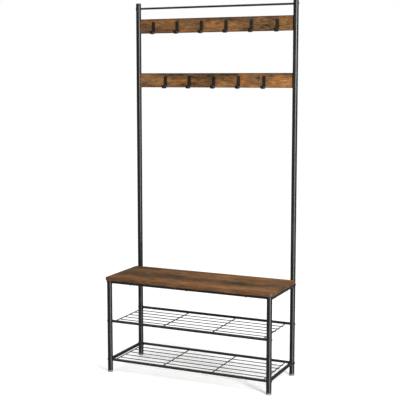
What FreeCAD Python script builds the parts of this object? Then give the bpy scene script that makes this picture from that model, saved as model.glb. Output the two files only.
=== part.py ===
import FreeCAD, Part
import math
import os

# Hall tree with hooks: a round-tube steel frame with a bench seat, two wire
# shelves below the seat, a top rail and two boards of hooks above it.
# Millimetres. +X is to the right, +Y to the back and +Z up. The origin is on
# the floor, under the middle of the whole object.

Vector = FreeCAD.Vector
ALONG_X = Vector(1, 0, 0)
ALONG_Y = Vector(0, 1, 0)
ALONG_Z = Vector(0, 0, 1)

# Overall size and the four legs
overall_width = 864.0
overall_depth = 347.0
overall_height = 1800.0
leg_spacing_x = 828.0
leg_spacing_y = 316.0
leg_od = 25.0
leg_wall = 1.5
leg_seam_z = 640.0

# Levelling feet and the plugs that they screw into
foot_od = 27.0
foot_thickness = 7.5
foot_edge = 2.5
foot_stop_gap = 0.3
foot_stem_od = 8.0
foot_stem_top = 45.0
insert_flange = 1.5
insert_depth = 22.0

# Tubes between the legs
rail_od = 13.0
rail_wall = 1.2
top_rail_od = 10.0
top_rail_wall = 1.0
seat_side_rail_od = 20.0
bottom_side_rail_od = 16.0
side_rail_wall = 1.2
bottom_shelf_z = 63.0
middle_shelf_z = 255.5
top_rail_z = 1773.5

# Seat board
seat_top_z = 473.5
seat_thickness = 18.0
seat_corner = 15.0
seat_edge = 5.0

# Wire shelves
cross_wire_od = 5.0
long_wire_od = 4.0
cross_wire_rise = 1.5
long_wire_pitch = 50.0
cross_wire_pitch = 770.0 / 3
cross_wires_per_shelf = 4
long_wires_per_shelf = 5

# Hook boards and their brackets
board_height = 70.0
board_thickness = 15.0
board_edge = 1.5
board_end_gap = 0.2
upper_board_bottom_z = 1651.0
lower_board_bottom_z = 1385.0
bracket_height = 50.0
bracket_reach = 36.0
bracket_thickness = 2.0
bracket_screw_offset = 16.0

# Hooks
hook_pitch = 130.5
upper_hook_count = 6
lower_hook_count = 5
hook_width = 16.0
hook_thickness = 2.0
hook_radius = 15.0
hook_top_margin = 14.0
hook_bottom_drop = 5.0
hook_screw_inset = 7.0
hook_screw_spacing = 24.0

# Fasteners
slip = 0.05
bolt_od = 6.0
bolt_head_od = 10.0
bolt_head_height = 2.8
bolt_grip = 14.0
top_bolt_od = 5.0
top_bolt_head_od = 8.0
socket_depth = 1.5
nut_length = 14.0
screw_od = 3.5
screw_head_od = 7.0
screw_head_height = 2.0
screw_bite = 10.0
cap_height = 4.0
cap_plug = 14.0
end_disc = 2.5
joiner_length = 120.0
joiner_wall = 2.0

# Values worked out from the ones above
leg_r = leg_od / 2
leg_x = leg_spacing_x / 2
rear_y = overall_depth / 2 - foot_od / 2
front_y = rear_y - leg_spacing_y
leg_bore_r = leg_r - leg_wall
plug_r = leg_bore_r - slip
insert_bottom_z = foot_thickness + foot_stop_gap
leg_bottom_z = insert_bottom_z + insert_flange
seat_bottom_z = seat_top_z - seat_thickness
seat_rail_z = seat_bottom_z - rail_od / 2
seat_side_rail_z = seat_bottom_z - seat_side_rail_od / 2
seat_back_y = rear_y - leg_r - board_end_gap
front_leg_top_z = seat_bottom_z - board_end_gap
upright_top_z = overall_height - cap_height
board_front_y = rear_y - board_thickness / 2
board_back_y = rear_y + board_thickness / 2
sides = {"left": -1, "right": 1}
shelves = {"middle": middle_shelf_z, "bottom": bottom_shelf_z}
boards = {"upper": upper_board_bottom_z, "lower": lower_board_bottom_z}
hook_counts = {"upper": upper_hook_count, "lower": lower_hook_count}


def rod(start, direction, length, diameter):
    """A solid cylinder from a start point along a direction."""
    return Part.makeCylinder(diameter / 2, length, start, direction)


def tube(start, direction, length, outside, wall):
    """A round tube from a start point along a direction."""
    bore = rod(start, direction, length, outside - 2 * wall)
    return rod(start, direction, length, outside).cut(bore)


def block(x_range, y_range, z_range):
    """A box between two values on each axis."""
    low = Vector(x_range[0], y_range[0], z_range[0])
    size = [high - start for start, high in (x_range, y_range, z_range)]
    return Part.makeBox(size[0], size[1], size[2], low)


def edges_along(shape, direction):
    """The straight edges of a shape that run along a direction."""
    found = []
    for edge in shape.Edges:
        if isinstance(edge.Curve, Part.Line):
            if abs(edge.tangentAt(edge.FirstParameter).dot(direction)) > 0.999:
                found.append(edge)
    return found


def edges_at_height(shape, z):
    """The edges of a shape that lie wholly at one height."""
    found = []
    for edge in shape.Edges:
        box = edge.BoundBox
        if abs(box.ZMin - z) < 0.01 and abs(box.ZMax - z) < 0.01:
            found.append(edge)
    return found


def save(name, *solids):
    """Write one node, a single solid or a group of separate ones."""
    shape = solids[0] if len(solids) == 1 else Part.makeCompound(list(solids))
    volume = sum(solid.Volume for solid in shape.Solids)
    print(name, len(shape.Solids), "solid(s)", round(volume), "mm3", "valid", shape.isValid())
    shape.exportStep("parts/" + name + ".step")


def leg_cylinder(x, y):
    """The full outside of a leg, for coping the tubes that meet it."""
    return rod(Vector(x, y, 0), ALONG_Z, overall_height, leg_od)


# Legs and uprights

def bolt_hole(x, y, z, diameter):
    """A hole right through a leg, along X."""
    return rod(Vector(x - leg_od, y, z), ALONG_X, 2 * leg_od, diameter + 2 * slip)


def leg(x, y, top_z):
    """A lower leg tube with the holes for its rail bolts."""
    shape = tube(Vector(x, y, leg_bottom_z), ALONG_Z, top_z - leg_bottom_z, leg_od, leg_wall)
    for z in (bottom_shelf_z, middle_shelf_z, seat_rail_z):
        shape = shape.cut(bolt_hole(x, y, z, bolt_od))
    return shape


def upright(x):
    """The upper tube that stands on a back leg."""
    length = upright_top_z - leg_seam_z
    shape = tube(Vector(x, rear_y, leg_seam_z), ALONG_Z, length, leg_od, leg_wall)
    return shape.cut(bolt_hole(x, rear_y, top_rail_z, top_bolt_od))


def joiner(x):
    """The sleeve inside a back leg and its upright, half in each."""
    start = Vector(x, rear_y, leg_seam_z - joiner_length / 2)
    return tube(start, ALONG_Z, joiner_length, 2 * plug_r, joiner_wall)


def upright_cap(x):
    """A plastic cap with a rounded head over the top of an upright."""
    head = rod(Vector(x, rear_y, upright_top_z), ALONG_Z, cap_height, leg_od)
    head = head.makeFillet(cap_height - 1, edges_at_height(head, overall_height))
    plug = rod(Vector(x, rear_y, upright_top_z - cap_plug), ALONG_Z, cap_plug, 2 * plug_r)
    return head.fuse(plug).removeSplitter()


def front_leg_disc(x):
    """The disc that closes the top of a front leg, under the seat."""
    start = Vector(x, front_y, front_leg_top_z - end_disc)
    return rod(start, ALONG_Z, end_disc, 2 * plug_r)


# Feet

def foot_insert(x, y):
    """The threaded plug in the bottom of a leg, with a flange under the tube."""
    flange = rod(Vector(x, y, insert_bottom_z), ALONG_Z, insert_flange, leg_od)
    body = rod(Vector(x, y, leg_bottom_z), ALONG_Z, insert_depth, 2 * plug_r)
    length = insert_flange + insert_depth
    hole = rod(Vector(x, y, insert_bottom_z), ALONG_Z, length, foot_stem_od + 2 * slip)
    return flange.fuse(body).removeSplitter().cut(hole)


def levelling_foot(x, y):
    """A round foot with a rounded lower edge, on its threaded stem."""
    pad = rod(Vector(x, y, 0), ALONG_Z, foot_thickness, foot_od)
    pad = pad.makeFillet(foot_edge, edges_at_height(pad, 0))
    pad = pad.makeFillet(1, edges_at_height(pad, foot_thickness))
    length = foot_stem_top - foot_thickness + 1
    stem = rod(Vector(x, y, foot_thickness - 1), ALONG_Z, length, foot_stem_od)
    return pad.fuse(stem).removeSplitter()


# Tubes between the legs

def side_rail(x, z, diameter):
    """A tube from a front leg to the back leg behind it, coped to both."""
    shape = tube(Vector(x, front_y, z), ALONG_Y, leg_spacing_y, diameter, side_rail_wall)
    return shape.cut(leg_cylinder(x, front_y)).cut(leg_cylinder(x, rear_y))


def long_rail(y, z, diameter, wall):
    """A tube from a left leg to the right leg beside it, coped to both."""
    shape = tube(Vector(-leg_x, y, z), ALONG_X, leg_spacing_x, diameter, wall)
    return shape.cut(leg_cylinder(-leg_x, y)).cut(leg_cylinder(leg_x, y))


def screw_clearance(x, y):
    """The hole up through a seat rail and into the board for a screw."""
    shank = rod(Vector(x, y, 0), ALONG_Z, seat_bottom_z + screw_bite, screw_od + 2 * slip)
    return shank


def rail_nut(side, y, z, tube_od, wall, thread_od):
    """The threaded plug in the end of a rail."""
    start = Vector(side * (leg_x - leg_r - 2), y, z)
    direction = Vector(-side, 0, 0)
    body = rod(start, direction, nut_length, tube_od - 2 * wall - 2 * slip)
    return body.cut(rod(start, direction, nut_length, thread_od + 2 * slip))


def rail_bolt(side, y, z, shank_od, head_od):
    """A round-headed bolt through a leg into the end of a rail."""
    outside = side * (leg_x + leg_r)
    inward = Vector(-side, 0, 0)
    outward = Vector(side, 0, 0)
    head = rod(Vector(outside, y, z), outward, bolt_head_height, head_od)
    rim = []
    for edge in head.Edges:
        box = edge.BoundBox
        far_end = abs(abs((box.XMin + box.XMax) / 2) - leg_x - leg_r - bolt_head_height) < 0.01
        if far_end and box.XLength < 0.01:
            rim.append(edge)
    head = head.makeFillet(bolt_head_height * 0.7, rim)
    shank = rod(Vector(outside, y, z), inward, leg_od + bolt_grip, shank_od)
    socket = hex_socket(Vector(outside + side * bolt_head_height, y, z), inward, shank_od * 0.6)
    return head.fuse(shank).cut(socket)


def hex_socket(start, direction, across):
    """A six-sided hole for a key, sunk into a bolt's head."""
    radius = across / math.sqrt(3)
    points = []
    for corner in range(7):
        angle = math.radians(60 * corner)
        offset = Vector(0, radius * math.cos(angle), radius * math.sin(angle))
        points.append(start + offset)
    outline = Part.Face(Part.makePolygon(points))
    return outline.extrude(direction * socket_depth)


# Wire shelves

def cross_wire(x, z):
    """A front-to-back wire, coped to the front and rear rails."""
    shape = rod(Vector(x, front_y, z + cross_wire_rise), ALONG_Y, leg_spacing_y, cross_wire_od)
    for y in (front_y, rear_y):
        shape = shape.cut(rod(Vector(-leg_x, y, z), ALONG_X, leg_spacing_x, rail_od))
    return shape


def long_wires(z):
    """The thin wires that run the length of a shelf, under its cross wires."""
    reach = cross_wire_pitch * (cross_wires_per_shelf - 1) / 2 + cross_wire_od / 2
    height = z + cross_wire_rise - cross_wire_od / 2 - long_wire_od / 2
    middle_y = (front_y + rear_y) / 2
    wires = []
    for number in range(long_wires_per_shelf):
        y = middle_y + (number - (long_wires_per_shelf - 1) / 2) * long_wire_pitch
        start = Vector(-reach, y, height)
        wires.append(rod(start, ALONG_X, 2 * reach, long_wire_od))
    return wires


# Boards

def seat_screw_places():
    """Where the seat's screws go: three in the front rail, two in each side."""
    places = [(x, front_y, seat_rail_z - rail_od / 2) for x in (-300, 0, 300)]
    for side in sides.values():
        for y in (-80, 80):
            places.append((side * leg_x, y, seat_side_rail_z - seat_side_rail_od / 2))
    return places


def seat_board():
    """The bench seat, with rounded corners and rounded edges."""
    half = overall_width / 2
    shape = block((-half, half), (-overall_depth / 2, seat_back_y), (seat_bottom_z, seat_top_z))
    shape = shape.makeFillet(seat_corner, edges_along(shape, ALONG_Z))
    for z in (seat_top_z, seat_bottom_z):
        shape = shape.makeFillet(seat_edge, edges_at_height(shape, z))
    for x, y, _ in seat_screw_places():
        shape = shape.cut(screw_clearance(x, y))
    return shape


def wood_screw(start, direction, length):
    """A screw whose round head sits at the start point."""
    head = rod(start - direction * screw_head_height, direction, screw_head_height, screw_head_od)
    shank = rod(start, direction, length, screw_od)
    return head.fuse(shank)


def bracket_screw_places(bottom_z):
    """Where the screws of a board's two brackets go, at the board's back."""
    middle_z = bottom_z + board_height / 2
    places = []
    for side in sides.values():
        x = side * (leg_x - leg_r - bracket_reach / 2 + 2)
        for z in (middle_z - bracket_screw_offset, middle_z + bracket_screw_offset):
            places.append(Vector(x, board_back_y, z))
    return places


def hook_screw_places(count, bottom_z):
    """Where the screws of a row of hooks go, at the board's front."""
    upper_z = bottom_z + board_height - hook_top_margin - hook_screw_inset
    places = []
    for x in hook_places(count):
        for z in (upper_z, upper_z - hook_screw_spacing):
            places.append(Vector(x, board_front_y, z))
    return places


def hook_board(count, bottom_z):
    """A board between the uprights, with pilot holes for its screws."""
    half = leg_x - leg_r - board_end_gap
    z_range = (bottom_z, bottom_z + board_height)
    shape = block((-half, half), (board_front_y, board_back_y), z_range)
    shape = shape.makeFillet(board_edge, edges_along(shape, ALONG_X))
    for place in hook_screw_places(count, bottom_z):
        shape = shape.cut(rod(place, ALONG_Y, screw_bite, screw_od + 2 * slip))
    for place in bracket_screw_places(bottom_z):
        shape = shape.cut(rod(place, -ALONG_Y, screw_bite, screw_od + 2 * slip))
    return shape


def board_bracket(side, bottom_z):
    """A flat tab, welded to an upright, that holds one end of a board."""
    end = leg_x - math.sqrt(leg_r ** 2 - (board_thickness / 2) ** 2)
    x_range = sorted((side * (end - bracket_reach), side * end))
    middle_z = bottom_z + board_height / 2
    z_range = (middle_z - bracket_height / 2, middle_z + bracket_height / 2)
    shape = block(x_range, (board_back_y, board_back_y + bracket_thickness), z_range)
    for place in bracket_screw_places(bottom_z):
        if place.x * side > 0:
            shape = shape.cut(rod(place, ALONG_Y, bracket_thickness, screw_od + 2 * slip))
    return shape


# Hooks

def hook_places(count):
    """The X of each hook in a row, spread evenly about the middle."""
    return [(number - (count - 1) / 2) * hook_pitch for number in range(count)]


def hook(x, bottom_z):
    """A flat strip that runs down the board and curls forward into a J."""
    top_z = bottom_z + board_height - hook_top_margin
    bend_z = bottom_z - hook_bottom_drop + hook_radius + hook_thickness / 2
    back_y = board_front_y
    inner = hook_radius - hook_thickness / 2
    outer = hook_radius + hook_thickness / 2
    centre = Vector(0, back_y - hook_thickness / 2 - hook_radius, bend_z)
    stem = block((0, hook_width), (back_y - hook_thickness, back_y), (bend_z, top_z))
    stem = stem.makeFillet(hook_width * 0.3, edges_at_top_corners(stem, top_z))
    full_turn = rod(centre, ALONG_X, hook_width, 2 * outer)
    full_turn = full_turn.cut(rod(centre, ALONG_X, hook_width, 2 * inner))
    lower_half = block(
        (0, hook_width),
        (centre.y - outer, centre.y + outer),
        (bend_z - outer, bend_z),
    )
    shape = stem.fuse(full_turn.common(lower_half)).removeSplitter()
    shape.translate(Vector(x - hook_width / 2, 0, 0))
    for place in hook_screw_places(1, bottom_z):
        hole_start = Vector(x, place.y - hook_thickness, place.z)
        shape = shape.cut(rod(hole_start, ALONG_Y, hook_thickness, screw_od + 2 * slip))
    return shape


def edges_at_top_corners(shape, top_z):
    """The short edges, front to back, at the two top corners of a strip."""
    found = []
    for edge in edges_along(shape, ALONG_Y):
        if abs(edge.BoundBox.ZMin - top_z) < 0.01:
            found.append(edge)
    return found


def main():
    os.makedirs("parts", exist_ok=True)
    leg_rows = {"front": front_y, "back": rear_y}

    for name, side in sides.items():
        x = side * leg_x
        save(name + "_front_leg", leg(x, front_y, front_leg_top_z))
        save(name + "_back_leg", leg(x, rear_y, leg_seam_z))
        save(name + "_upright", upright(x))
        save(name + "_upright_joiner", joiner(x))
        for row, y in leg_rows.items():
            save(name + "_" + row + "_levelling_foot", levelling_foot(x, y))
    save("upright_caps", *[upright_cap(side * leg_x) for side in sides.values()])
    save("front_leg_end_discs", *[front_leg_disc(side * leg_x) for side in sides.values()])
    inserts = [foot_insert(side * leg_x, y) for side in sides.values() for y in leg_rows.values()]
    save("foot_inserts", *inserts)

    for name, side in sides.items():
        x = side * leg_x
        seat_rail = side_rail(x, seat_side_rail_z, seat_side_rail_od)
        for screw_x, screw_y, _ in seat_screw_places():
            seat_rail = seat_rail.cut(screw_clearance(screw_x, screw_y))
        save(name + "_seat_side_rail", seat_rail)
        save(name + "_bottom_side_rail", side_rail(x, bottom_shelf_z, bottom_side_rail_od))

    front_seat_rail = long_rail(front_y, seat_rail_z, rail_od, rail_wall)
    for screw_x, screw_y, _ in seat_screw_places():
        front_seat_rail = front_seat_rail.cut(screw_clearance(screw_x, screw_y))
    save("front_seat_rail", front_seat_rail)
    save("rear_seat_rail", long_rail(rear_y, seat_rail_z, rail_od, rail_wall))
    save("top_rail", long_rail(rear_y, top_rail_z, top_rail_od, top_rail_wall))

    for shelf, z in shelves.items():
        save(shelf + "_shelf_front_rail", long_rail(front_y, z, rail_od, rail_wall))
        save(shelf + "_shelf_rear_rail", long_rail(rear_y, z, rail_od, rail_wall))
        for number in range(cross_wires_per_shelf):
            x = (number - (cross_wires_per_shelf - 1) / 2) * cross_wire_pitch
            save(shelf + "_shelf_cross_wire_" + str(number + 1), cross_wire(x, z))
        save(shelf + "_shelf_long_wires", *long_wires(z))

    save("seat_board", seat_board())
    screws = []
    for x, y, z in seat_screw_places():
        screws.append(wood_screw(Vector(x, y, z), ALONG_Z, seat_bottom_z + screw_bite - z))
    save("seat_screws", *screws)

    brackets = []
    bracket_screws = []
    hook_screws = []
    for row, bottom_z in boards.items():
        count = hook_counts[row]
        save(row + "_hook_board", hook_board(count, bottom_z))
        for number, x in enumerate(hook_places(count), start=1):
            save(row + "_hook_" + str(number), hook(x, bottom_z))
        for side in sides.values():
            brackets.append(board_bracket(side, bottom_z))
        for place in bracket_screw_places(bottom_z):
            start = place + ALONG_Y * bracket_thickness
            bracket_screws.append(wood_screw(start, -ALONG_Y, bracket_thickness + screw_bite))
        for place in hook_screw_places(count, bottom_z):
            start = place - ALONG_Y * hook_thickness
            hook_screws.append(wood_screw(start, ALONG_Y, hook_thickness + screw_bite))
    save("board_brackets", *brackets)
    save("bracket_screws", *bracket_screws)
    save("hook_screws", *hook_screws)

    bolts = []
    nuts = []
    for side in sides.values():
        for y in leg_rows.values():
            for z in (bottom_shelf_z, middle_shelf_z, seat_rail_z):
                bolts.append(rail_bolt(side, y, z, bolt_od, bolt_head_od))
                nuts.append(rail_nut(side, y, z, rail_od, rail_wall, bolt_od))
    save("frame_bolts", *bolts)
    save("rail_end_nuts", *nuts)
    top_bolts = [rail_bolt(s, rear_y, top_rail_z, top_bolt_od, top_bolt_head_od) for s in (-1, 1)]
    save("top_rail_bolts", *top_bolts)
    top_nuts = [rail_nut(s, rear_y, top_rail_z, top_rail_od, top_rail_wall, top_bolt_od) for s in (-1, 1)]
    save("top_rail_end_nuts", *top_nuts)


main()
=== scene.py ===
# %% [markdown]
# # A hall tree with hooks, finished in Blender
# The real object is a bench for putting on shoes with a tall back: black
# powder-coated steel tube, two wire shelves, a wood-look seat, and two boards of
# bent-steel coat hooks. The design model already has every tube, board and
# fastener at its real size, so this file only adds looks. It loads that model as
# a fixed frame, gives each part a finish made from shader nodes, and rebuilds
# the small parts that deserve rounder edges: hooks, screws, bolts, feet, welds.

import math

import bmesh
import bpy
from mathutils import Matrix, Vector


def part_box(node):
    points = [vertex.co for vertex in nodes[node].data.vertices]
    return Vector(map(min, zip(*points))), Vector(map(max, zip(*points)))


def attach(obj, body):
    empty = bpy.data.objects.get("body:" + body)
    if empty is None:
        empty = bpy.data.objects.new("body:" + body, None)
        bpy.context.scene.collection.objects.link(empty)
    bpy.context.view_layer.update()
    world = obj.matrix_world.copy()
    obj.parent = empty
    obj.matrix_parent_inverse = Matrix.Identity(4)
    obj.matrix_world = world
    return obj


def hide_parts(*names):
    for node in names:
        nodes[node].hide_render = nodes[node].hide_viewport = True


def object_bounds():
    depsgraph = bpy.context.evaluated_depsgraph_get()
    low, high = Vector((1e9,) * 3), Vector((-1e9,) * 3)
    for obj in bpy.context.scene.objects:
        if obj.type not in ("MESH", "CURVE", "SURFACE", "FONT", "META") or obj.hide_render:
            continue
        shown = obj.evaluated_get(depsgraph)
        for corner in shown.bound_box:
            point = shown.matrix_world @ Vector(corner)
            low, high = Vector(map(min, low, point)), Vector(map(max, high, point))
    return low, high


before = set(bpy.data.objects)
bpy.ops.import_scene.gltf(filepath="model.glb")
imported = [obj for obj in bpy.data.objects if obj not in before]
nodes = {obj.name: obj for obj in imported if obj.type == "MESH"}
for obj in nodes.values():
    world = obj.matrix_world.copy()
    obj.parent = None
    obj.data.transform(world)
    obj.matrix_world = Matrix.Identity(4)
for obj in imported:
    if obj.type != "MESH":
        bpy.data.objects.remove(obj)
cad_low, cad_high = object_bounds()
print("nodes", len(nodes), "size", [round(edge, 4) for edge in cad_high - cad_low])

# %% [markdown]
# ## The camera
# The camera stands to the right of the bench and a little above its middle, far
# enough back that a long lens keeps the uprights almost parallel. A small
# downward shift of the sensor does part of the tilting, as a view camera does,
# so the tall uprights lean in less than they would with tilt alone.

# %% Camera
camera_turn = math.radians(24.79)
camera_tilt = math.radians(6.80)
camera_data = bpy.data.cameras.new("camera")
camera_data.lens = 86.0
camera_data.sensor_width = 36.0
camera_data.shift_y = -0.02
camera = bpy.data.objects.new("camera", camera_data)
camera.location = (1.895, -4.108, 1.431)
camera.rotation_euler = (math.radians(90) - camera_tilt, 0, camera_turn)
bpy.context.scene.collection.objects.link(camera)
bpy.context.scene.camera = camera
print("camera distance", round((camera.location - (cad_low + cad_high) / 2).length, 2), "m")

# %% [markdown]
# ## The studio
# A product of thin black tubes needs a pale, shadow-poor room: the tubes read
# as dark lines, and one soft strip of light down each tube shows that it is
# round. Two tall lamps, one above the other, make that strip. The floor is one
# large matt disc: the gloss doesn't mirror it, and it doesn't shade the lower
# lamp, which reaches below it. The world is white where the camera looks straight
# at it, and dimmer as a light source, so that the black finish isn't washed out
# by glare from every side.

# %% Floor and lights
floor_radius = 30.0
floor_glow = 0.28
ambient = 0.25
strip_width = 0.7
strip_place = (2.7, -1.75)
strip_aim = (0.0, 0.1)
overhead_strength = 2.05
overhead_spread = 90


def white_world(strength):
    """A world that is seen as white but lights the object less strongly."""
    world = bpy.data.worlds.new("studio")
    world.use_nodes = True
    tree = world.node_tree
    seen = tree.nodes.new("ShaderNodeLightPath")
    background = tree.nodes["Background"]
    background.inputs["Color"].default_value = (1, 1, 1, 1)
    strength_mix = tree.nodes.new("ShaderNodeMapRange")
    strength_mix.inputs["To Min"].default_value = strength
    strength_mix.inputs["To Max"].default_value = 1.0
    tree.links.new(seen.outputs["Is Camera Ray"], strength_mix.inputs["Value"])
    tree.links.new(strength_mix.outputs["Result"], background.inputs["Strength"])
    bpy.context.scene.world = world


def add_light(data, place, direction):
    """Hang a light at a place, facing a direction."""
    light = bpy.data.objects.new(data.name, data)
    light.location = place
    light.rotation_euler = Vector(direction).to_track_quat("-Z", "Y").to_euler()
    bpy.context.scene.collection.objects.link(light)


def area_light(name, place, aim, width, height, power):
    """A flat soft light that faces a point."""
    data = bpy.data.lights.new(name, "AREA")
    data.shape = "RECTANGLE"
    data.size = width
    data.size_y = height
    data.energy = power
    add_light(data, place, Vector(aim) - Vector(place))


def sky_light(name, direction, strength, spread):
    """A distant light with a wide disc, so its shadows are very soft."""
    data = bpy.data.lights.new(name, "SUN")
    data.energy = strength
    data.angle = math.radians(spread)
    add_light(data, (0, 0, 0), direction)


white_world(ambient)
for strip_name, level, tall, power in (("upper_strip", 2.2, 2.2, 126), ("lower_strip", -0.2, 2.6, 80)):
    area_light(strip_name, (*strip_place, level), (*strip_aim, level), strip_width, tall, power)
sky_light("overhead", (0.15, 0.25, -1.0), overhead_strength, overhead_spread)
bpy.context.scene.view_settings.view_transform = "Standard"

# %% [markdown]
# ## Small helpers for shader nodes
# Every finish below is a short chain of nodes: a coordinate, a noise, a colour
# ramp, a bump. Naming those four steps as functions keeps each material down to
# the choices that matter. All patterns read Object coordinates, which are metres
# here, so a scale of 400 means features of about 2.5 mm.

# %% Node helpers
def linear(red, green, blue):
    """A display colour, 0 to 255, as the linear colour that shaders use."""
    channels = []
    for value in (red / 255, green / 255, blue / 255):
        channels.append(value / 12.92 if value <= 0.04045 else ((value + 0.055) / 1.055) ** 2.4)
    return (*channels, 1)


def start_material(name, colour, roughness):
    """A new material with its tree and its principled shader."""
    material = bpy.data.materials.new(name)
    material.use_nodes = True
    tree = material.node_tree
    shader = tree.nodes["Principled BSDF"]
    shader.inputs["Base Color"].default_value = colour
    shader.inputs["Roughness"].default_value = roughness
    return material, tree, shader


def place_pattern(tree, scale=(1, 1, 1), offset=(0, 0, 0), source=None):
    """Object coordinates, or another vector, scaled and shifted."""
    mapping = tree.nodes.new("ShaderNodeMapping")
    mapping.inputs["Scale"].default_value = scale
    mapping.inputs["Location"].default_value = offset
    if source is None:
        source = tree.nodes.new("ShaderNodeTexCoord").outputs["Object"]
    tree.links.new(source, mapping.inputs["Vector"])
    return mapping.outputs["Vector"]


def noise(tree, vector, scale, detail=4.0, roughness=0.55, output="Fac"):
    """Cloudy values around one half, or cloudy colours."""
    texture = tree.nodes.new("ShaderNodeTexNoise")
    texture.inputs["Scale"].default_value = scale
    texture.inputs["Detail"].default_value = detail
    texture.inputs["Roughness"].default_value = roughness
    tree.links.new(vector, texture.inputs["Vector"])
    return texture.outputs[output]


def ramp(tree, value, stops):
    """Colours at positions from 0 to 1 along a value."""
    node = tree.nodes.new("ShaderNodeValToRGB")
    elements = node.color_ramp.elements
    while len(elements) < len(stops):
        elements.new(0.5)
    for element, (position, colour) in zip(elements, stops):
        element.position = position
        element.color = colour
    tree.links.new(value, node.inputs["Fac"])
    return node.outputs["Color"]


def stretch(tree, value, low, high, to_low=0.0, to_high=1.0):
    """Map a span of values to another span, held at its ends."""
    node = tree.nodes.new("ShaderNodeMapRange")
    node.inputs["From Min"].default_value = low
    node.inputs["From Max"].default_value = high
    node.inputs["To Min"].default_value = to_low
    node.inputs["To Max"].default_value = to_high
    tree.links.new(value, node.inputs["Value"])
    return node.outputs["Result"]


def feed(tree, socket, value):
    """Set a socket to a plain value, or link another socket to it."""
    if isinstance(value, bpy.types.NodeSocket):
        tree.links.new(value, socket)
    else:
        socket.default_value = value


def maths(tree, operation, *values, kind="ShaderNodeMath"):
    """One arithmetic step on sockets or plain values."""
    node = tree.nodes.new(kind)
    node.operation = operation
    for socket, value in zip(node.inputs, values):
        feed(tree, socket, value)
    return node.outputs[0]


def blend_colours(tree, amount, first, second, mode="MIX"):
    """Two colours mixed by an amount; each may be a socket or a colour."""
    node = tree.nodes.new("ShaderNodeMix")
    node.data_type = "RGBA"
    node.blend_type = mode
    for number, value in ((0, amount), (6, first), (7, second)):
        feed(tree, node.inputs[number], value)
    return node.outputs[2]


def add_bump(tree, shader, height, strength, distance):
    """Raise and lower the shading by a height pattern."""
    node = tree.nodes.new("ShaderNodeBump")
    node.inputs["Strength"].default_value = strength
    node.inputs["Distance"].default_value = distance
    tree.links.new(height, node.inputs["Height"])
    tree.links.new(node.outputs["Normal"], shader.inputs["Normal"])


def plain_floor():
    """A matt, almost white floor with the faintest unevenness."""
    material, tree, shader = start_material("floor_paint", (0.86, 0.86, 0.86, 1), 0.9)
    shader.inputs["Specular IOR Level"].default_value = 0.1
    clouds = noise(tree, place_pattern(tree), 1.5, 2.0)
    tone = ramp(tree, clouds, [(0.3, (0.85, 0.85, 0.85, 1)), (0.7, (0.87, 0.87, 0.87, 1))])
    tree.links.new(tone, shader.inputs["Base Color"])
    shader.inputs["Emission Color"].default_value = (1, 1, 1, 1)
    shader.inputs["Emission Strength"].default_value = floor_glow
    bm = bmesh.new()
    bmesh.ops.create_circle(bm, cap_ends=True, radius=floor_radius, segments=96)
    mesh = bpy.data.meshes.new("floor")
    bm.to_mesh(mesh)
    bm.free()
    mesh.materials.append(material)
    floor = bpy.data.objects.new("floor", mesh)
    bpy.context.scene.collection.objects.link(floor)
    floor.visible_glossy = False
    floor.visible_shadow = False


plain_floor()

# %% [markdown]
# ## Black powder coat
# The tubes are sprayed with dry powder and baked, which leaves a satin skin with
# a very fine "orange peel": soft dimples about a millimetre across. Hands and
# cartons rub faint paler clouds into it. A small noise drives the bump, a larger
# one the rubbed clouds and the uneven gloss. The four finishes of the steel
# differ only in these numbers, so one function makes them all.

# %% Powder coat
peel_strength = 0.20
speck_scale = 900


def powder_coat(name, dark, rubbed, gloss, peel_scale, peel_depth):
    """A baked coat with fine dimples, cloudy rubbing and uneven gloss."""
    material, tree, shader = start_material(name, dark, gloss)
    shader.inputs["Specular IOR Level"].default_value = 0.50
    clouds = noise(tree, place_pattern(tree, (1, 1, 0.35)), 22, 5.0, 0.62)
    specks = noise(tree, place_pattern(tree), speck_scale, 2.0)
    rub = stretch(tree, clouds, 0.50, 0.78)
    colour = blend_colours(tree, rub, dark, rubbed)
    dust = stretch(tree, specks, 0.66, 0.80, 0.0, 0.35)
    colour = blend_colours(tree, dust, colour, rubbed)
    tree.links.new(colour, shader.inputs["Base Color"])
    uneven = stretch(tree, clouds, 0.3, 0.7, gloss - 0.05, gloss + 0.07)
    tree.links.new(uneven, shader.inputs["Roughness"])
    peel = noise(tree, place_pattern(tree), peel_scale, 2.0, 0.5)
    add_bump(tree, shader, peel, peel_strength, peel_depth)
    return material


frame_coat = powder_coat(
    "frame_powder_coat", linear(17, 17, 18), linear(32, 32, 34), 0.30, 780, 0.00008
)
wire_coat = powder_coat(
    "wire_powder_coat", linear(22, 22, 23), linear(40, 40, 42), 0.38, 1100, 0.00008
)
hook_coat = powder_coat(
    "hook_enamel", linear(19, 14, 11), linear(33, 27, 23), 0.30, 640, 0.00008
)
screw_black = powder_coat(
    "blackened_screw_steel", linear(20, 20, 20), linear(52, 51, 50), 0.34, 1500, 0.00005
)
print("coats", frame_coat.name, wire_coat.name, hook_coat.name, screw_black.name)

# %% [markdown]
# ## Plastics and zinc
# The feet are grey moulded plastic: even in colour, finely speckled, slightly
# grubby in soft clouds. The caps and tube plugs are black plastic with a
# spark-eroded texture. The nuts in the rail ends are zinc plated, a pale metal
# with soft cloudy crystals.

# %% Plastics and zinc
def moulded_plastic(name, colour, shade, gloss, grain_scale):
    """A moulded surface with a fine even grain and slight soiling."""
    material, tree, shader = start_material(name, colour, gloss)
    soil = stretch(tree, noise(tree, place_pattern(tree), 60, 5.0), 0.45, 0.72)
    tone = blend_colours(tree, soil, colour, shade)
    tree.links.new(tone, shader.inputs["Base Color"])
    grain = noise(tree, place_pattern(tree), grain_scale, 3.0)
    uneven = stretch(tree, grain, 0.3, 0.7, gloss - 0.06, gloss + 0.06)
    tree.links.new(uneven, shader.inputs["Roughness"])
    add_bump(tree, shader, grain, 0.3, 0.00008)
    return material


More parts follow.
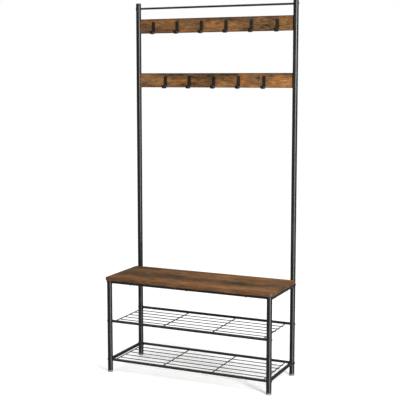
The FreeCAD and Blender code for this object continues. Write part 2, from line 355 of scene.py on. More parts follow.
def zinc_plate(name):
    """Zinc plating with soft crystal clouds."""
    material, tree, shader = start_material(name, linear(176, 178, 180), 0.32)
    shader.inputs["Metallic"].default_value = 1.0
    crystals = noise(tree, place_pattern(tree), 260, 4.0)
    stops = [(0.35, linear(150, 152, 156)), (0.65, linear(196, 198, 198))]
    tree.links.new(ramp(tree, crystals, stops), shader.inputs["Base Color"])
    tree.links.new(stretch(tree, crystals, 0.3, 0.7, 0.24, 0.42), shader.inputs["Roughness"])
    add_bump(tree, shader, crystals, 0.2, 0.00004)
    return material


foot_grey = moulded_plastic(
    "foot_plastic_grey", linear(126, 126, 124), linear(102, 100, 97), 0.5, 1400
)
cap_black = moulded_plastic(
    "cap_plastic_black", linear(44, 44, 46), linear(58, 58, 60), 0.48, 1700
)
zinc = zinc_plate("zinc_plating")
print("plastics", foot_grey.name, cap_black.name, "metal", zinc.name)

# %% [markdown]
# ## Rustic board
# The seat and hook boards are pressed board with a printed, textured wood skin:
# long brown streaks, greyed and darkened patches, an orange cast between them,
# fine pores, faint marks of a saw blade across the grain, and darker bands at the
# edges; on the seat, painted shade also darkens the sides towards their bottom
# edge. One function builds the skin from a single "tone" value that runs from
# charred to pale. Streak noises push the tone up and down, and so do a few soft
# patches, each with a place and a size in metres, so every board has its own
# character while all three share one timber.

# %% Rustic board skin
def soft_patch(tree, source, centre, size):
    """1 at a point, fading to 0 at an ellipse round it."""
    scale = [1 / edge if edge else 0.0 for edge in size]
    offset = [-middle * factor for middle, factor in zip(centre, scale)]
    texture = tree.nodes.new("ShaderNodeTexGradient")
    texture.gradient_type = "SPHERICAL"
    tree.links.new(place_pattern(tree, scale, offset, source), texture.inputs["Vector"])
    return texture.outputs["Fac"]


def wavy_coordinates(tree, grain_offset):
    """Object coordinates bent a little, so that streaks wander."""
    coordinate = place_pattern(tree, offset=grain_offset)
    slow = place_pattern(tree, (7, 16, 16), source=coordinate)
    bend = noise(tree, slow, 1.0, 3.0, 0.5, output="Color")
    vectors = "ShaderNodeVectorMath"
    reach = (0.06, 0.022, 0.022)
    to_centre = (-0.03, -0.011, -0.011)
    shift = maths(tree, "MULTIPLY_ADD", bend, reach, to_centre, kind=vectors)
    return maths(tree, "ADD", coordinate, shift, kind=vectors)


def axis_value(tree, axis):
    """One object coordinate as a value."""
    parts = tree.nodes.new("ShaderNodeSeparateXYZ")
    tree.links.new(tree.nodes.new("ShaderNodeTexCoord").outputs["Object"], parts.inputs["Vector"])
    return parts.outputs[axis]


def grain(tree, source, along, across, detail, roughness=0.55):
    """Streaky noise, with so many features a metre along the board and across it."""
    vector = place_pattern(tree, (along, across, across), source=source)
    return noise(tree, vector, 1.0, detail, roughness)


def glaze(tree, under, over, amount, strength, mode="MIX"):
    """Lay one colour over another, by an amount times a strength."""
    return blend_colours(tree, maths(tree, "MULTIPLY", amount, strength), under, over, mode)


def saw_blade(tree, source):
    """Fine wavering lines across the board, only here and there."""
    blade = tree.nodes.new("ShaderNodeTexWave")
    blade.bands_direction = "X"
    blade.inputs["Scale"].default_value = 46.0
    blade.inputs["Distortion"].default_value = 5.0
    blade.inputs["Detail"].default_value = 2.0
    blade.inputs["Detail Scale"].default_value = 1.4
    tree.links.new(place_pattern(tree, (1, 0.25, 0.25), source=source), blade.inputs["Vector"])
    patchy = stretch(tree, grain(tree, source, 6, 18, 3.0), 0.46, 0.66)
    return maths(tree, "MULTIPLY", blade.outputs["Fac"], patchy)


def rustic_board(name, grain_offset, patches, rim, backing, base_tone):
    """A printed timber skin; rim and backing are functions that make a value."""
    material, tree, shader = start_material(name, linear(112, 80, 55), 0.55)
    shader.inputs["Specular IOR Level"].default_value = 0.12
    wavy = wavy_coordinates(tree, grain_offset)
    broad = grain(tree, wavy, 3.2, 14, 4.0, 0.6)
    streaks = grain(tree, wavy, 14, 82, 5.0, 0.64)
    mottle = grain(tree, wavy, 36, 165, 3.0, 0.6)
    fibres = grain(tree, wavy, 24, 560, 4.0, 0.6)
    tone = base_tone
    for pattern, swing in ((broad, 0.20), (streaks, 0.26), (mottle, 0.27), (fibres, 0.14)):
        tone = maths(tree, "ADD", tone, stretch(tree, pattern, 0.25, 0.75, -swing, swing))
    shifted = place_pattern(tree, offset=[-value for value in grain_offset], source=wavy)
    for centre, size, amount in patches:
        weight = stretch(tree, soft_patch(tree, shifted, centre, size), 0.0, 0.75, 0.0, amount)
        tone = maths(tree, "ADD", tone, weight)
    timber = ramp(tree, tone, [
        (0.02, linear(36, 26, 19)),
        (0.24, linear(65, 47, 32)),
        (0.42, linear(91, 64, 38)),
        (0.58, linear(111, 76, 41)),
        (0.76, linear(132, 87, 43)),
        (0.96, linear(154, 110, 64)),
    ])
    hue = stretch(tree, grain(tree, wavy, 5, 22, 3.0), 0.42, 0.66)
    saw_marks = saw_blade(tree, wavy)
    cracks = stretch(tree, grain(tree, wavy, 5, 150, 6.0, 0.7), 0.66, 0.73)
    timber = glaze(tree, timber, linear(128, 108, 78), hue, 0.55, "SOFT_LIGHT")
    timber = glaze(tree, timber, linear(188, 160, 124), saw_marks, 0.16)
    timber = glaze(tree, timber, linear(36, 27, 22), cracks, 0.72)
    # Darker rims; on the seat the rim value also carries painted shade low on its sides.
    timber = glaze(tree, timber, linear(38, 29, 25), rim(tree), 0.62)
    # Brown paper on the back and underside, painted paler than its own colour as painted light where
    # no lamp reaches.
    timber = blend_colours(tree, backing(tree), timber, linear(96, 77, 60))
    tree.links.new(timber, shader.inputs["Base Color"])
    dull_cracks = maths(tree, "MULTIPLY", cracks, 0.2)
    gloss = maths(tree, "ADD", stretch(tree, streaks, 0.3, 0.7, 0.46, 0.62), dull_cracks)
    tree.links.new(gloss, shader.inputs["Roughness"])
    raised = maths(tree, "MULTIPLY", fibres, 0.6)
    relief = maths(tree, "SUBTRACT", raised, maths(tree, "MULTIPLY", cracks, 0.9))
    relief = maths(tree, "ADD", relief, maths(tree, "MULTIPLY", saw_marks, 0.35))
    add_bump(tree, shader, relief, 0.45, 0.0004)
    return material


# %% [markdown]
# Each board has darker rims. For the hook boards the rim is a band along the
# top and bottom edges, and the back is brown paper, painted paler than its own
# colour as painted light on the back that no lamp reaches. For the seat the rim
# is the outline together with painted shade low on its sides, and the same paper
# is underneath. The place of each rim comes from the board's own box in the frame.

# %% Board rims and backs
rim_width = 0.0035
rim_fade = 0.0030
# Painted shade low on the seat's sides: full at the first height above its bottom, gone by the second.
lower_shade_full = 0.003
lower_shade_end = 0.011
paper_depth = 0.0006


def near_edge(tree, axis, low, high):
    """1 at the two ends of a span along an axis, fading inwards."""
    half = (high - low) / 2
    from_middle = maths(tree, "SUBTRACT", axis_value(tree, axis), (high + low) / 2)
    distance = maths(tree, "ABSOLUTE", from_middle)
    return stretch(tree, distance, half - rim_width - rim_fade, half - 0.3 * rim_width)


def near_underside(tree, bottom, end, full):
    """0 at a height above the bottom, rising to 1 at a smaller height."""
    lowered = maths(tree, "MULTIPLY", axis_value(tree, "Z"), -1.0)
    return stretch(tree, lowered, -bottom - end, -bottom - full)


def hook_board_finish(node_name, grain_offset, patches, base_tone):
    """The skin of one hook board."""
    low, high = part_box(node_name)

    def rim(tree):
        return near_edge(tree, "Z", low.z, high.z)

    def backing(tree):
        return stretch(tree, axis_value(tree, "Y"), high.y - paper_depth, high.y - paper_depth / 2)

    return rustic_board(node_name + "_skin", grain_offset, patches, rim, backing, base_tone)


def seat_finish(node_name, grain_offset, patches, base_tone):
    """The skin of the seat board."""
    low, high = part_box(node_name)

    def rim(tree):
        sides = near_edge(tree, "X", low.x, high.x)
        ends = near_edge(tree, "Y", low.y, high.y)
        outline = maths(tree, "MULTIPLY", maths(tree, "MAXIMUM", sides, ends), 0.85)
        # Painted shade: the seat's sides grow darker towards their bottom edge.
        painted_lower_shade = near_underside(tree, low.z, lower_shade_end, lower_shade_full)
        return maths(tree, "MAXIMUM", outline, painted_lower_shade)

    def backing(tree):
        return near_underside(tree, low.z, paper_depth, paper_depth / 2)

    return rustic_board(node_name + "_skin", grain_offset, patches, rim, backing, base_tone)


# %% [markdown]
# The patches are (centre, size, amount), and on the hook boards (x, height above
# the middle, half length, half height, amount). A negative amount darkens and a
# positive one warms and lightens. The seat has a long greyed streak down its
# middle and a paler front; the lower board is grey-brown on the left and orange
# on the right; the upper board is even, with a weathered stretch near its right.

# %% Finish the three boards
seat_patches = [
    ((-0.17, -0.030, 0), (0.30, 0.062, 0), -0.26),
    ((0.19, -0.042, 0), (0.13, 0.055, 0), -0.29),
    ((0.40, 0.010, 0), (0.09, 0.070, 0), -0.19),
    ((-0.41, 0.020, 0), (0.08, 0.160, 0), -0.22),
    ((-0.30, 0.115, 0), (0.13, 0.045, 0), -0.07),
    ((0.11, 0.065, 0), (0.17, 0.060, 0), 0.19),
    ((0.30, 0.105, 0), (0.11, 0.045, 0), 0.16),
    ((0.00, -0.140, 0), (0.50, 0.055, 0), 0.16),
]
upper_patches = [
    (-0.38, 0.0, 0.07, 0.05, -0.09),
    (-0.08, 0.03, 0.22, 0.03, -0.14),
    (0.03, 0.0, 0.09, 0.04, 0.10),
    (0.07, 0.03, 0.05, 0.03, -0.21),
    (0.19, 0.03, 0.05, 0.03, -0.22),
    (0.29, -0.01, 0.06, 0.04, -0.16),
    (0.37, 0.0, 0.06, 0.05, 0.06),
]
lower_patches = [
    (-0.28, 0.03, 0.30, 0.03, -0.16),
    (-0.07, 0.0, 0.09, 0.06, -0.15),
    (0.05, 0.03, 0.12, 0.03, -0.25),
    (0.05, -0.015, 0.04, 0.02, 0.26),
    (0.17, 0.0, 0.10, 0.05, 0.12),
    (0.235, 0.012, 0.012, 0.016, -0.37),
    (0.29, 0.03, 0.05, 0.02, -0.31),
    (0.34, -0.005, 0.13, 0.05, 0.20),
    (0.38, 0.035, 0.04, 0.015, -0.34),
]


def on_hook_board(node_name, rows):
    """Patches in metres from the board's middle, moved to the board's place."""
    low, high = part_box(node_name)
    middle = (low.z + high.z) / 2
    return [((x, 0, middle + rise), (wide, 0, tall), amount) for x, rise, wide, tall, amount in rows]


# Painted light and shade: the base tones differ a little, the upright hook boards darker than the flat
# seat, to offset how strongly the lamps light each board.
board_skins = {
    "seat_board": seat_finish("seat_board", (0.0, 0.0, 0.0), seat_patches, 0.50),
}
for node_name, grain_offset, rows, base_tone in (
    ("upper_hook_board", (3.1, 0.4, 0.7), upper_patches, 0.47),
    ("lower_hook_board", (6.4, 1.3, 0.2), lower_patches, 0.48),
):
    patches = on_hook_board(node_name, rows)
    board_skins[node_name] = hook_board_finish(node_name, grain_offset, patches, base_tone)
print("boards", sorted(board_skins))

# %% [markdown]
# ## Finishes for the frame's own parts
# The tubes, wires and boards keep the design model's meshes, which already have
# the right shape, and only change material. Each is found by the slot that the
# record gives it, so no name is listed twice.

# %% Assign the finishes
slot_finish = {
    "frame_steel": frame_coat,
    "wire_steel": wire_coat,
    "hook_steel": hook_coat,
    "black_hardware": screw_black,
    "zinc_hardware": zinc,
    "foot_plastic": foot_grey,
    "cap_plastic": cap_black,
}
for node_name, part in nodes.items():
    slot_name = part.material_slots[0].material.name
    part.data.materials.clear()
    part.data.materials.append(board_skins.get(node_name) or slot_finish[slot_name])
print("finished", len(nodes), "nodes")

# %% [markdown]
# ## Shared steps for new pieces
# A new piece starts as a bmesh. When its shape is done, doubles are merged, the
# normals are turned outwards, and smooth shading is kept only where faces meet
# at a shallow angle. Small fasteners repeat many times, so one is modelled at
# the origin, facing up, and then copied to each place.

# %% Helpers for pieces
sharp_angle = math.radians(35)
weld_distance = 0.000005
cut_distance = 1e-7
rounding = {"offset_type": "OFFSET", "profile": 0.5, "material": -1}


def close_up(bm):
    """Merge doubles and point every face outwards."""
    bmesh.ops.remove_doubles(bm, verts=bm.verts[:], dist=weld_distance)
    bmesh.ops.recalc_face_normals(bm, faces=bm.faces[:])


def make_piece(name, bm, material, body="frame", stands_for=()):
    """Turn a bmesh into a named piece that rides on a body."""
    mesh = bpy.data.meshes.new(name)
    for face in bm.faces:
        face.smooth = True
    bm.to_mesh(mesh)
    bm.free()
    mesh.set_sharp_from_angle(angle=sharp_angle)
    mesh.materials.append(material)
    piece = bpy.data.objects.new(name, mesh)
    bpy.context.scene.collection.objects.link(piece)
    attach(piece, body)
    if stands_for:
        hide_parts(*stands_for)
    return piece


def copies(template, places):
    """A bmesh with the template at each place; a place is a matrix."""
    model = bpy.data.meshes.new("template")
    template.to_mesh(model)
    template.free()
    bm = bmesh.new()
    for place in places:
        first = len(bm.verts)
        bm.from_mesh(model)
        bm.verts.ensure_lookup_table()
        bmesh.ops.transform(bm, matrix=place, verts=bm.verts[first:])
    bpy.data.meshes.remove(model)
    return bm


def facing(place, direction, spin):
    """The matrix that stands a template at a place, facing a direction, spun about it."""
    turn = Vector(direction).to_track_quat("Z", "Y").to_matrix().to_4x4()
    return Matrix.Translation(place) @ turn @ Matrix.Rotation(spin, 4, "Z")


def standing_cone(bottom, top, height, segments):
    """A new bmesh with one cone that stands on the origin."""
    bm = bmesh.new()
    bmesh.ops.create_cone(
        bm,
        cap_ends=True,
        segments=segments,
        radius1=bottom,
        radius2=top,
        depth=height,
        matrix=Matrix.Translation((0, 0, height / 2)),
    )
    return bm


def full_turn(bm, geom, centre, axis, steps):
    """Spin geometry once round an axis and join the last step to the first."""
    bmesh.ops.spin(
        bm,
        geom=geom,
        cent=centre,
        axis=axis,
        dvec=(0, 0, 0),
        angle=2 * math.pi,
        steps=steps,
        use_merge=True,
    )


def turned(bm, outline, centre, steps, closed=False):
    """Spin an outline of (radius, height) points round an upright axis."""
    corners = [bm.verts.new((centre[0] + r, centre[1], centre[2] + h)) for r, h in outline]
    pairs = list(zip(corners, corners[1:]))
    if closed:
        pairs.append((corners[-1], corners[0]))
    edges = [bm.edges.new(pair) for pair in pairs]
    full_turn(bm, corners + edges, centre, (0, 0, 1), steps)


def round_upright(node_name):
    """The place of an upright round part's axis, its radius and its box."""
    low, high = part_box(node_name)
    return (low.x + high.x) / 2, (low.y + high.y) / 2, (high.x - low.x) / 2, low, high


# %% [markdown]
# ## Legs and uprights
# A cut tube never has a knife edge: its ends are deburred. Where an upright
# stands on a back leg, the two small chamfers meet and leave a fine groove. Each
# tube is one outline, wall and chamfers included, spun round its axis.

# %% Legs and uprights
tube_wall = 0.0015
tube_chamfer = 0.0005
tube_steps = 72


def chamfered_tube(node_name):
    """A tube in the node's place, with deburred ends."""
    x, y, radius, low, high = round_upright(node_name)
    length = high.z - low.z
    outline = [
        (radius - tube_wall, 0),
        (radius - tube_chamfer, 0),
        (radius, tube_chamfer),
        (radius, length - tube_chamfer),
        (radius - tube_chamfer, length),
        (radius - tube_wall, length),
    ]
    bm = bmesh.new()
    turned(bm, outline, (x, y, low.z), tube_steps, closed=True)
    close_up(bm)
    make_piece(node_name + "_tube", bm, frame_coat, stands_for=[node_name])
    return length


for side in ("left", "right"):
    for tube_name in ("front_leg", "back_leg", "upright"):
        made_length = chamfered_tube(side + "_" + tube_name)
        print(side, tube_name, round(made_length * 1000), "mm long")

# %% [markdown]
# ## Bent-strip hooks
# Each hook is a flat steel strip with its end curled forward. In metal it is
# stamped, tumbled so that its edges soften, and bent round a former. Here one
# edge as wide as the strip is drawn down the stem and spun half a turn, which
# gives a ribbon. Rounding the ribbon's corners comes next, while it is flat, and
# then Solidify gives the steel its thickness and Bevel its tumbled edges.

# %% Hooks
hook_steel_thickness = 0.0020
hook_tumbled_edge = 0.0005
hook_corner = 0.0050
hook_curl_steps = 26


def bent_hook(node_name, piece_name):
    """A ribbon down the board and round the curl, then thickened."""
    low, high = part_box(node_name)
    radius = (high.y - low.y) / 2
    curl_centre = Vector((low.x, high.y - radius, low.z + radius))
    back = high.y - hook_steel_thickness / 2
    bm = bmesh.new()
    ends = [bm.verts.new((x, back, high.z)) for x in (low.x, high.x)]
    edge = bm.edges.new(ends)
    drawn = bmesh.ops.extrude_edge_only(bm, edges=[edge])["geom"]
    lowered = [item for item in drawn if isinstance(item, bmesh.types.BMVert)]
    bmesh.ops.translate(bm, verts=lowered, vec=(0, 0, curl_centre.z - high.z))
    bend_edge = [item for item in drawn if isinstance(item, bmesh.types.BMEdge)]
    bend_edge = [item for item in bend_edge if all(v in lowered for v in item.verts)]
    bmesh.ops.spin(
        bm,
        geom=lowered + bend_edge,
        cent=curl_centre,
        axis=(1, 0, 0),
        dvec=(0, 0, 0),
        angle=-math.pi,
        steps=hook_curl_steps,
    )
    close_up(bm)
    corners = [v for v in bm.verts if len(v.link_edges) == 2]
    bmesh.ops.bevel(
        bm, geom=corners, offset=hook_corner, segments=6, affect="VERTICES", **rounding
    )
    piece = make_piece(piece_name, bm, hook_coat, stands_for=[node_name])
    thicken = piece.modifiers.new("steel_thickness", "SOLIDIFY")
    thicken.thickness = hook_steel_thickness
    thicken.offset = 0.0
    soften = piece.modifiers.new("tumbled_edge", "BEVEL")
    soften.width = hook_tumbled_edge
    soften.segments = 3
    soften.limit_method = "ANGLE"
    soften.angle_limit = math.radians(50)


hook_nodes = sorted(name for name in nodes if "_hook_" in name and not name.endswith("board"))
for hook_node in hook_nodes:
    bent_hook(hook_node, hook_node.replace("_hook_", "_bent_hook_"))
print("hooks", len(hook_nodes))

# %% [markdown]
# ## Screws with a cross recess
# A pan-head screw is a low dome with a tapered cross sunk into it. A plain cone
# gives the head; its top face is cut by eight planes, which mark out the cross;
# the cross is pushed down and narrowed, and the whole top is swelled to a dome.

# %% Screw head
def screw_head(radius, height):
    """One pan head at the origin, facing up."""
    bm = standing_cone(radius, radius * 0.82, height, 24)
    arm = radius * 0.15
    reach = radius * 0.52
    for axis in (Vector((1, 0, 0)), Vector((0, 1, 0))):
        for cut in (-reach, -arm, arm, reach):
            bm.normal_update()
            top = [face for face in bm.faces if face.normal.z > 0.99]
            edges = {edge for face in top for edge in face.edges}
            corners = {corner for face in top for corner in face.verts}
            bmesh.ops.bisect_plane(
                bm,
                geom=top + list(edges) + list(corners),
                dist=cut_distance,
                plane_co=axis * cut,
                plane_no=axis,
            )
    bm.normal_update()
    cross = []
    for face in bm.faces:
        middle = face.calc_center_median()
        near, far = sorted((abs(middle.x), abs(middle.y)))
        if face.normal.z > 0.99 and near < arm and far < reach:
            cross.append(face)
    sunk = bmesh.ops.extrude_face_region(bm, geom=cross)["geom"]
    sunk_corners = [item for item in sunk if isinstance(item, bmesh.types.BMVert)]
    bmesh.ops.scale(bm, verts=sunk_corners, vec=(0.72, 0.72, 1))
    bmesh.ops.translate(bm, verts=sunk_corners, vec=(0, 0, -height * 0.62))
    bmesh.ops.delete(bm, geom=[face for face in cross if face.is_valid], context="FACES_ONLY")
    dome = height * 0.28
    for corner in bm.verts:
        if corner.co.z > height * 0.2:
            corner.co.z += dome * (1 - (corner.co.xy.length / radius) ** 2) - dome * 0.33
    close_up(bm)
    return bm


# %% [markdown]
# The screws sit where the design has them. Each hook has two, one strip
# thickness in front of the board, and their heights follow from the top of the
# hook. The brackets and the seat have theirs at the places of the design's own
# screws, read from each hidden solid's loose parts. Bolts are placed in the same
# way further on, and face outwards from the middle of the object.

# %% Place the screws
head_radius = 0.0035
head_height = 0.0020
hook_screw_inset = 0.0070
hook_screw_spacing = 0.0240


def hook_screw_places():
    """Two screw places for each hook, facing forward."""
    places = []
    for name in hook_nodes:
        low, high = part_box(name)
        x = (low.x + high.x) / 2
        for drop in (hook_screw_inset, hook_screw_inset + hook_screw_spacing):
            place = (x, high.y - hook_steel_thickness, high.z - drop)
            places.append(facing(place, (0, -1, 0), 0.4 * len(places)))
    return places


def loose_parts(node_name):
    """The box of each separate solid in a node."""
    bm = bmesh.new()
    bm.from_mesh(nodes[node_name].data)
    bmesh.ops.remove_doubles(bm, verts=bm.verts[:], dist=weld_distance)
    waiting = set(bm.verts)
    boxes = []
    while waiting:
        found = [waiting.pop()]
        for corner in found:
            joined = {edge.other_vert(corner) for edge in corner.link_edges} & waiting
            waiting -= joined
            found.extend(joined)
        low = Vector([min(corner.co[axis] for corner in found) for axis in range(3)])
        high = Vector([max(corner.co[axis] for corner in found) for axis in range(3)])
        boxes.append((low, high))
    bm.free()
    boxes.sort(key=lambda pair: tuple(round(value, 4) for value in pair[0]))
    return boxes


def head_places(node_name, height, spin, direction=None):
    """Where a node's fasteners have the undersides of their heads."""
    places = []
    for low, high in loose_parts(node_name):
        middle = (low + high) / 2
        faced = direction or (math.copysign(1, middle.x), 0, 0)
        for axis, way in enumerate(faced):
            if way:
                middle[axis] = (high if way > 0 else low)[axis] - way * height
        places.append(facing(middle, faced, spin * len(places)))
    return places


bracket_places = head_places("bracket_screws", head_height, 0.7, (0, 1, 0))
seat_places = head_places("seat_screws", head_height, 0.7, (0, 0, -1))
screw_rows = {
    "hook_screw_heads": ("hook_screws", hook_screw_places()),
    "bracket_screw_heads": ("bracket_screws", bracket_places),
    "seat_screw_heads": ("seat_screws", seat_places),
}
for piece_name, (stood_for, places) in screw_rows.items():
    heads = copies(screw_head(head_radius, head_height), places)
    make_piece(piece_name, heads, screw_black, stands_for=[stood_for])
    print(piece_name, len(places))

# %% [markdown]
# ## Button-head bolts
# The long rails are pulled against the legs by bolts whose low round heads have
# a six-sided socket. A short cylinder's top is inset again and again, each ring
# a little higher, to make the dome. The last ring is pushed out to a hexagon
# and then sunk.

# %% Bolt head
def button_head(radius, height, across_flats):
    """One button head with a hexagonal socket, at the origin, facing up."""
    side_height = height * 0.18
    bm = standing_cone(radius, radius, side_height, 36)
    bm.normal_update()
    top = max(bm.faces, key=lambda face: face.calc_center_median().z)
    socket_radius = across_flats / math.sqrt(3)
    first_inset = radius * 0.02
    rings = 6
    for ring in range(1, rings + 1):
        lean = math.radians(90) * ring / rings
        wanted_radius = socket_radius + (radius - socket_radius) * math.cos(lean)
        wanted_height = side_height + (height - side_height) * math.sin(lean)
        bmesh.ops.inset_region(bm, faces=[top], thickness=first_inset, use_even_offset=True)
        for corner in top.verts:
            flat = corner.co.xy.normalized() * wanted_radius
            corner.co = (flat.x, flat.y, wanted_height)
    for corner in top.verts:
        angle = math.atan2(corner.co.y, corner.co.x) % math.radians(60) - math.radians(30)
        flat = corner.co.xy.normalized() * (across_flats / 2 / math.cos(angle))
        corner.co = (flat.x, flat.y, height)
    bmesh.ops.inset_region(bm, faces=[top], thickness=first_inset, use_even_offset=True)
    bmesh.ops.translate(bm, verts=top.verts[:], vec=(0, 0, -height * 0.6))
    close_up(bm)
    return bm


bolt_height = 0.0028
bolt_rows = {
    "leg_bolt_heads": ("frame_bolts", 0.0050, 0.0036),
    "top_rail_bolt_heads": ("top_rail_bolts", 0.0040, 0.0030),
}
for piece_name, (stood_for, radius, across_flats) in bolt_rows.items():
    places = head_places(stood_for, bolt_height, 0.5)
    heads = copies(button_head(radius, bolt_height, across_flats), places)
    make_piece(piece_name, heads, screw_black, stands_for=[stood_for])
    print(piece_name, len(places))

# %% [markdown]
# ## Weld beads
# The side rails are welded to the legs. A real bead is a thin roll of metal
# with small ripples, lying in the corner between the two tubes. A little circle
# spun round the rail makes the roll; every point is then pushed along the rail
# until it sits on the round face of the leg.

# %% Shape of a weld bead
ring_steps = 64
crossing_size = (0.0024, 0.0021, 0.0008, 1)
crossing_inset = 0.0015


def weld_ring(bm, tube_radius, bead_radius, ripples, crown, place, outward):
    """A rippled roll round a tube along Y; crown(x, z) is the face it meets."""
    circle = bmesh.ops.create_circle(
        bm, radius=bead_radius, segments=8, matrix=Matrix.Translation((tube_radius, 0, 0))
    )["verts"]
    edges = list({edge for corner in circle for edge in corner.link_edges})
    first = len(bm.verts) - len(circle)
    full_turn(bm, circle + edges, (0, 0, 0), (0, 1, 0), ring_steps)
    bm.verts.ensure_lookup_table()
    for corner in bm.verts[first:]:
        x, y, z = corner.co
        turn = math.atan2(z, x)
        swell = 1 + 0.14 * math.sin(ripples * turn) + 0.05 * math.sin(5 * turn + place.x)
        reach = math.hypot(x, z)
        grown = (tube_radius + (reach - tube_radius) * swell) / reach
        shifted = Vector((x * grown, outward * (crown(x, z) + y * swell), z * grown))
        corner.co = place + shifted


def end_rings(bm, rod, supports, supports_stand, bead_radius, ripples):
    """A ring at each end of a rod along Y, on the round faces of two supports."""
    low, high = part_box(rod)
    rod_z = (low.z + high.z) / 2
    for support, outward in zip(supports, (1, -1)):
        near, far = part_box(support)
        support_radius = (far.x - near.x if supports_stand else far.y - near.y) / 2
        drop = rod_z - (near.z + far.z) / 2
        place = Vector(((low.x + high.x) / 2, (near.y + far.y) / 2, rod_z))

        def crown(x, z):
            return math.sqrt(support_radius ** 2 - (x if supports_stand else z + drop) ** 2)

        weld_ring(bm, (high.x - low.x) / 2, bead_radius, ripples, crown, place, outward)


# %% [markdown]
# The rings come in two sizes: one on each end of a side rail, and a smaller one
# on each end of a cross wire. Where a long wire lies on a cross wire, the two are
# melted together, which leaves a flattened bead.

# %% Lay the beads
rail_rings = bmesh.new()
for side in ("left", "right"):
    legs = (side + "_front_leg", side + "_back_leg")
    for rail in ("_seat_side_rail", "_bottom_side_rail"):
        end_rings(rail_rings, side + rail, legs, True, bead_radius=0.0013, ripples=22)

wire_rings = bmesh.new()
crossings = bmesh.new()
crossing_count = 0
for shelf in ("middle_shelf", "bottom_shelf"):
    rails = (shelf + "_front_rail", shelf + "_rear_rail")
    long_wires = loose_parts(shelf + "_long_wires")
    for number in range(1, 5):
        wire = f"{shelf}_cross_wire_{number}"
        end_rings(wire_rings, wire, rails, False, bead_radius=0.0007, ripples=9)
        low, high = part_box(wire)
        for wire_low, wire_high in long_wires:
            x = (low.x + high.x) / 2
            x = min(max(x, wire_low.x + crossing_inset), wire_high.x - crossing_inset)
            place = Matrix.Translation((x, (wire_low.y + wire_high.y) / 2, low.z))
            size = Matrix.Diagonal(crossing_size)
            bmesh.ops.create_icosphere(crossings, subdivisions=2, radius=1, matrix=place @ size)
            crossing_count += 1

for piece_name, bm, coat, slot_name in (
    ("side_rail_welds", rail_rings, frame_coat, "frame_steel"),
    ("wire_end_welds", wire_rings, wire_coat, "wire_steel"),
    ("wire_crossing_welds", crossings, wire_coat, "wire_steel"),
):
    close_up(bm)
    make_piece(piece_name, bm, coat)
print("weld beads at wire crossings", crossing_count)

# %% [markdown]
# ## Brackets behind the hook boards
# A small steel tab is welded to each upright, and the board is screwed to it
# from behind. The tab is a cut blank with rounded corners and broken edges, so
# a box is bevelled twice: first the two corners at its free end, then all its
# rims. A straight weld bead runs down its end.

# %% Brackets
bracket_corner = 0.0050
bracket_edge = 0.0003
bracket_bead = 0.0014
bead_steps = 40
bead_ripples = 9
ripple_turn = 6.28


def bracket_plate(bm, low, high):
    """A tab between two corners, rounded in outline and along its rims."""
    part = bmesh.new()
    size = high - low
    place = Matrix.Translation((low + high) / 2) @ Matrix.Diagonal((*size, 1))
    bmesh.ops.create_cube(part, size=1, matrix=place)
    thin = [e for e in part.edges if abs((e.verts[0].co - e.verts[1].co).y) > size.y / 2]
    inner = min(abs(low.x), abs(high.x))
    free_end = [e for e in thin if abs(abs(e.verts[0].co.x) - inner) < 0.001]
    bmesh.ops.bevel(
        part, geom=free_end, offset=bracket_corner, segments=6, affect="EDGES", **rounding
    )
    part.normal_update()
    rims = [e for e in part.edges if len(e.link_faces) == 2 and e.calc_face_angle() > 1.0]
    bmesh.ops.bevel(
        part, geom=rims, offset=bracket_edge, segments=2, affect="EDGES", **rounding
    )
    close_up(part)
    mesh = bpy.data.meshes.new("tab")
    part.to_mesh(mesh)
    part.free()
    bm.from_mesh(mesh)
    bpy.data.meshes.remove(mesh)


def weld_line(bm, start, length):
    """A rippled upright bead from a start point."""
    section = bmesh.ops.create_circle(
        bm, cap_ends=True, radius=bracket_bead * 0.3, segments=8, matrix=Matrix.Translation(start)
    )["verts"]
    section = list({face for corner in section for face in corner.link_faces})
    for step in range(1, bead_steps + 1):
        along = step / bead_steps
        grown = bmesh.ops.extrude_face_region(bm, geom=section)["geom"]
        bmesh.ops.delete(bm, geom=[f for f in section if step > 1], context="FACES_ONLY")
        section = [item for item in grown if isinstance(item, bmesh.types.BMFace)]
        corners = [item for item in grown if isinstance(item, bmesh.types.BMVert)]
        bulge = math.sin(math.pi * (0.08 + 0.84 * along)) ** 0.4
        swell = bulge * (1 + 0.1 * math.sin(bead_ripples * along * ripple_turn))
        centre = Vector(start) + Vector((0, 0, length * along))
        for corner in corners:
            flat = Vector((corner.co.x - start[0], corner.co.y - start[1], 0)).normalized()
            corner.co = centre + flat * bracket_bead * swell


brackets = bmesh.new()
bracket_beads = bmesh.new()
bracket_boxes = loose_parts("board_brackets")
for bracket_low, bracket_high in bracket_boxes:
    bracket_plate(brackets, bracket_low, bracket_high)
    outer_x = max(bracket_low.x, bracket_high.x, key=abs)
    tall = bracket_high.z - bracket_low.z
    weld_line(bracket_beads, (outer_x, bracket_high.y, bracket_low.z + 0.1 * tall), 0.8 * tall)
close_up(bracket_beads)
make_piece("board_bracket_tabs", brackets, frame_coat, stands_for=["board_brackets"])
make_piece("bracket_welds", bracket_beads, frame_coat)
print("brackets", len(bracket_boxes))

# %% [markdown]
# ## Levelling feet
# Each foot is a grey moulded pad on a threaded steel stem. The rim has shallow
# flutes, so that fingers can turn it. The pad is an outline spun upright, and
# the flutes are a ripple in its radius. The stem's thread is a row of teeth spun
# one full turn and then sheared upwards by one tooth: the end of each ridge
# meets the start of the next, and the rings become one true helix.

# %% Feet
flutes = 30
flute_depth = 0.0005
pad_top = 0.0075
stem_radius = 0.0040
stem_overlap = 0.0005
thread_pitch = 0.00125
thread_depth = 0.0007
thread_steps = 32


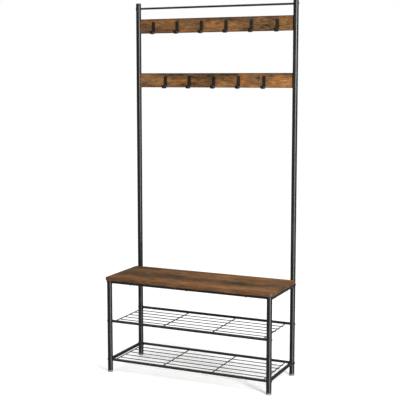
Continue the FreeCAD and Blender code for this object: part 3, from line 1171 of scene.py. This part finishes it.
def fluted_pad(bm, x, y, radius, top_z):
    """The pad, hollowed slightly underneath, with a fluted rim."""
    outline = [
        (0.0, 0.0006),
        (radius - 0.0045, 0.0006),
        (radius - 0.0038, 0.0),
        (radius - 0.0026, 0.0),
        (radius - 0.0012, 0.0006),
        (radius - 0.0003, 0.0018),
        (radius, 0.0032),
        (radius, top_z - 0.0016),
        (radius - 0.0005, top_z - 0.0006),
        (radius - 0.0016, top_z),
        (0.0, top_z),
    ]
    first = len(bm.verts)
    turned(bm, outline, (x, y, 0), flutes * 4)
    bm.verts.ensure_lookup_table()
    for corner in bm.verts[first:]:
        arm = Vector((corner.co.x - x, corner.co.y - y))
        reach = arm.length
        on_rim = reach > radius - 0.0004 and 0.0016 < corner.co.z < top_z - 0.0005
        if on_rim:
            turn = math.atan2(arm.y, arm.x)
            shrink = 1 - flute_depth * (0.5 - 0.5 * math.cos(flutes * turn)) / reach
            corner.co.x = x + arm.x * shrink
            corner.co.y = y + arm.y * shrink


def threaded_stem(x, y, radius, low_z, high_z):
    """A stem with one continuous helical thread."""
    bm = bmesh.new()
    teeth = int((high_z - low_z) / thread_pitch) + 2
    outline = []
    for tooth in range(teeth):
        base = low_z + (tooth - 1) * thread_pitch
        outline.append((radius - thread_depth, base))
        outline.append((radius, base + 0.5 * thread_pitch))
    corners = [bm.verts.new((x + r, y, h)) for r, h in outline]
    edges = [bm.edges.new(pair) for pair in zip(corners, corners[1:])]
    bmesh.ops.spin(
        bm,
        geom=corners + edges,
        cent=(x, y, 0),
        axis=(0, 0, 1),
        dvec=(0, 0, thread_pitch / thread_steps),
        angle=2 * math.pi,
        steps=thread_steps,
    )
    bmesh.ops.remove_doubles(bm, verts=bm.verts[:], dist=weld_distance)
    for plane_z, up in ((low_z, -1), (high_z, 1)):
        everything = bm.verts[:] + bm.edges[:] + bm.faces[:]
        bmesh.ops.bisect_plane(
            bm,
            geom=everything,
            dist=cut_distance,
            plane_co=(0, 0, plane_z),
            plane_no=(0, 0, up),
            clear_outer=True,
        )
        rim = [e for e in bm.edges if e.is_boundary and abs(e.verts[0].co.z - plane_z) < 1e-6]
        bmesh.ops.contextual_create(bm, geom=rim)
    close_up(bm)
    return bm


def levelling_foot(corner_name):
    """Pad and stem of one foot, on its own body."""
    node_name = corner_name + "_levelling_foot"
    x, y, radius, low, high = round_upright(node_name)
    pad = bmesh.new()
    fluted_pad(pad, x, y, radius, pad_top)
    close_up(pad)
    body = corner_name + "_foot"
    make_piece(corner_name + "_foot_pad", pad, foot_grey, body, [node_name])
    stem = threaded_stem(x, y, stem_radius, pad_top - stem_overlap, high.z)
    make_piece(corner_name + "_foot_stem", stem, zinc, body)


for side in ("left", "right"):
    for row in ("front", "back"):
        levelling_foot(side + "_" + row)
print("feet 4, flutes", flutes)

# %% [markdown]
# ## Caps on the uprights
# A moulded cap closes the top of each upright: a low dome with a soft shoulder
# and a fine step where it meets the tube, on a plug that grips the bore.

# %% Caps
cap_gap = 0.0001
cap_step = 0.0003
plug_length = 0.010
shoulder_steps = 7


def cap_outline(radius, tall):
    """Plug, step, shoulder and dome of a cap, as (radius, height)."""
    plug = radius - tube_wall - cap_gap
    rim = radius - cap_gap
    side_height = tall * 0.25
    shoulder = tall * 0.75
    outline = [(0.0, -plug_length), (plug, -plug_length), (plug, 0.0)]
    outline += [(rim - cap_step, 0.0), (rim, cap_step), (rim, side_height)]
    for step in range(1, shoulder_steps + 1):
        lean = math.radians(90) * step / shoulder_steps
        inset = shoulder * (1 - math.cos(lean))
        outline.append((rim - inset, side_height + 0.9 * shoulder * math.sin(lean)))
    return outline + [(radius * 0.45, tall * 0.985), (0.0, tall)]


caps = bmesh.new()
for side in ("left", "right"):
    x, y, radius, low, high = round_upright(side + "_upright")
    turned(caps, cap_outline(radius, cad_high.z - high.z), (x, y, high.z), tube_steps)
close_up(caps)
make_piece("upright_domed_caps", caps, cap_black, stands_for=["upright_caps"])
print("caps 2, plug length", plug_length)
